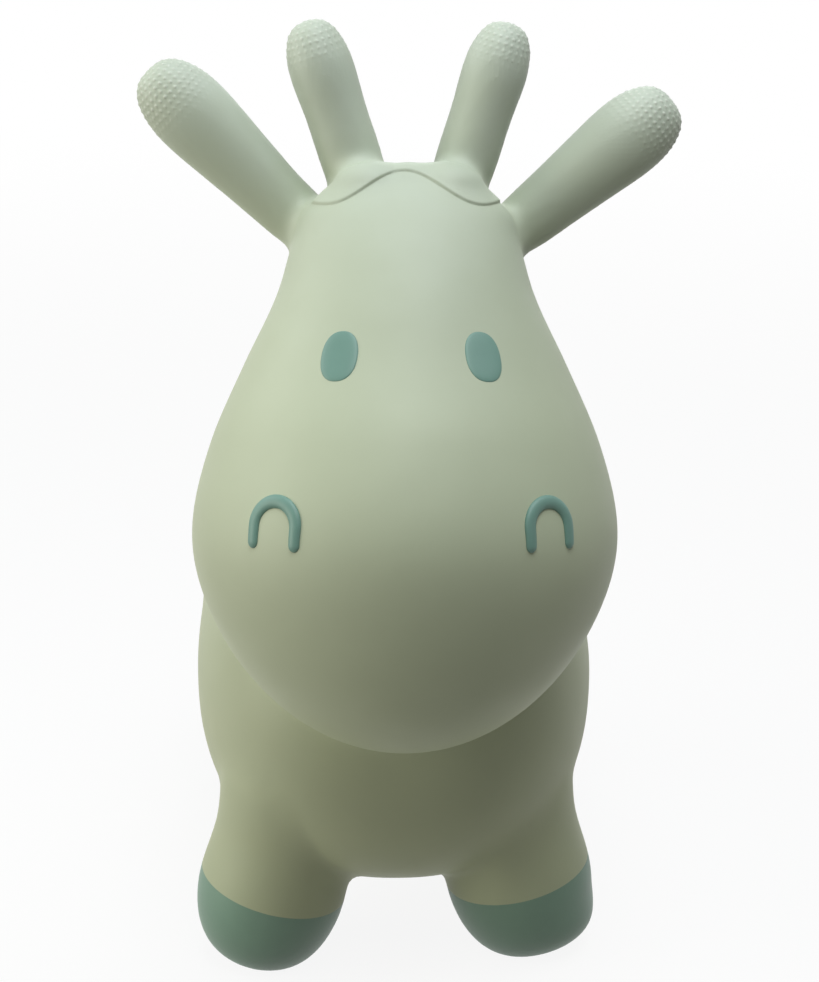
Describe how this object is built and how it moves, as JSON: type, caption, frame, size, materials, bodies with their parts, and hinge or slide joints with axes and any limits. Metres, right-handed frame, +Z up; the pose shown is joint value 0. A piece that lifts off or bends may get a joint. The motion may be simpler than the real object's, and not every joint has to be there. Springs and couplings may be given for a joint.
{
  "type": "bouncy ride on animal",
  "caption": "Hollow moulded vinyl hopper shaped like a calf, with ears and horns as flexing grips, stub legs that splay and spring back, and an air valve with a pull-out plug.",
  "frame": {"origin": "on the floor, under the middle of the toy's bounding box", "axes": "+Z up, the animal looks along -Y, +X towards the animal's own left"},
  "size_m": [0.2986, 0.5006, 0.5561],
  "materials": {
    "sage_vinyl": "matte sage-green soft vinyl",
    "teal_paint": "matte teal paint on soft vinyl",
    "ivory_rubber": "ivory soft rubber",
    "ivory_plastic": "ivory moulded plastic"
  },
  "bodies": {
    "hopper": {"body_skin": "sage_vinyl", "head_skin": "sage_vinyl", "forelock": "sage_vinyl", "left_eye": "teal_paint", "right_eye": "teal_paint", "left_nostril": "teal_paint", "right_nostril": "teal_paint", "left_ear_root": "sage_vinyl", "right_ear_root": "sage_vinyl", "left_horn_root": "sage_vinyl", "right_horn_root": "sage_vinyl", "front_left_shank": "sage_vinyl", "front_right_shank": "sage_vinyl", "rear_left_shank": "sage_vinyl", "rear_right_shank": "sage_vinyl", "tail": "sage_vinyl", "valve_seat": "ivory_rubber"},
    "front_left_foot": {"front_left_hoof": "teal_paint"},
    "front_right_foot": {"front_right_hoof": "teal_paint"},
    "rear_left_foot": {"rear_left_hoof": "teal_paint"},
    "rear_right_foot": {"rear_right_hoof": "teal_paint"},
    "left_ear_grip": {"left_ear": "sage_vinyl"},
    "right_ear_grip": {"right_ear": "sage_vinyl"},
    "left_horn_grip": {"left_horn": "sage_vinyl"},
    "right_horn_grip": {"right_horn": "sage_vinyl"},
    "plug": {"valve_plug": "ivory_plastic"}
  },
  "joints": [
    {"name": "front_left_splay", "type": "hinge", "parent": "hopper", "child": "front_left_foot", "pos_m": [0.044, -0.082, 0.048], "axis": [0, -1, 0], "range_deg": [-3, 14], "stiffness_Nm_per_rad": 5.5, "deforming": ["front_left_shank"]},
    {"name": "front_right_splay", "type": "hinge", "parent": "hopper", "child": "front_right_foot", "pos_m": [-0.044, -0.096, 0.048], "axis": [0, 1, 0], "range_deg": [-3, 14], "stiffness_Nm_per_rad": 5.5, "deforming": ["front_right_shank"]},
    {"name": "rear_left_splay", "type": "hinge", "parent": "hopper", "child": "rear_left_foot", "pos_m": [0.044, 0.155, 0.048], "axis": [0, -1, 0], "range_deg": [-3, 14], "stiffness_Nm_per_rad": 5.5, "deforming": ["rear_left_shank"]},
    {"name": "rear_right_splay", "type": "hinge", "parent": "hopper", "child": "rear_right_foot", "pos_m": [-0.044, 0.155, 0.048], "axis": [0, 1, 0], "range_deg": [-3, 14], "stiffness_Nm_per_rad": 5.5, "deforming": ["rear_right_shank"]},
    {"name": "left_ear_bend", "type": "hinge", "parent": "hopper", "child": "left_ear_grip", "pos_m": [0.0807, -0.06888, 0.45925], "axis": [-0.6359, 0, 0.7718], "range_deg": [-12, 20], "stiffness_Nm_per_rad": 1.5, "deforming": ["left_ear_root"]},
    {"name": "right_ear_bend", "type": "hinge", "parent": "hopper", "child": "right_ear_grip", "pos_m": [-0.07259, -0.06916, 0.46166], "axis": [-0.6959, 0, -0.7182], "range_deg": [-12, 20], "stiffness_Nm_per_rad": 1.5, "deforming": ["right_ear_root"]},
    {"name": "left_horn_bend", "type": "hinge", "parent": "hopper", "child": "left_horn_grip", "pos_m": [0.03393, -0.06905, 0.48907], "axis": [-0.9503, 0, 0.3113], "range_deg": [-12, 20], "stiffness_Nm_per_rad": 1.2, "deforming": ["left_horn_root"]},
    {"name": "right_horn_bend", "type": "hinge", "parent": "hopper", "child": "right_horn_grip", "pos_m": [-0.03393, -0.06905, 0.48907], "axis": [-0.9503, 0, -0.3113], "range_deg": [-12, 20], "stiffness_Nm_per_rad": 1.2, "deforming": ["right_horn_root"]},
    {"name": "plug_pull", "type": "slide", "parent": "hopper", "child": "plug", "axis": [0, 0, -1], "range_m": [0, 0.022]}
  ]
}
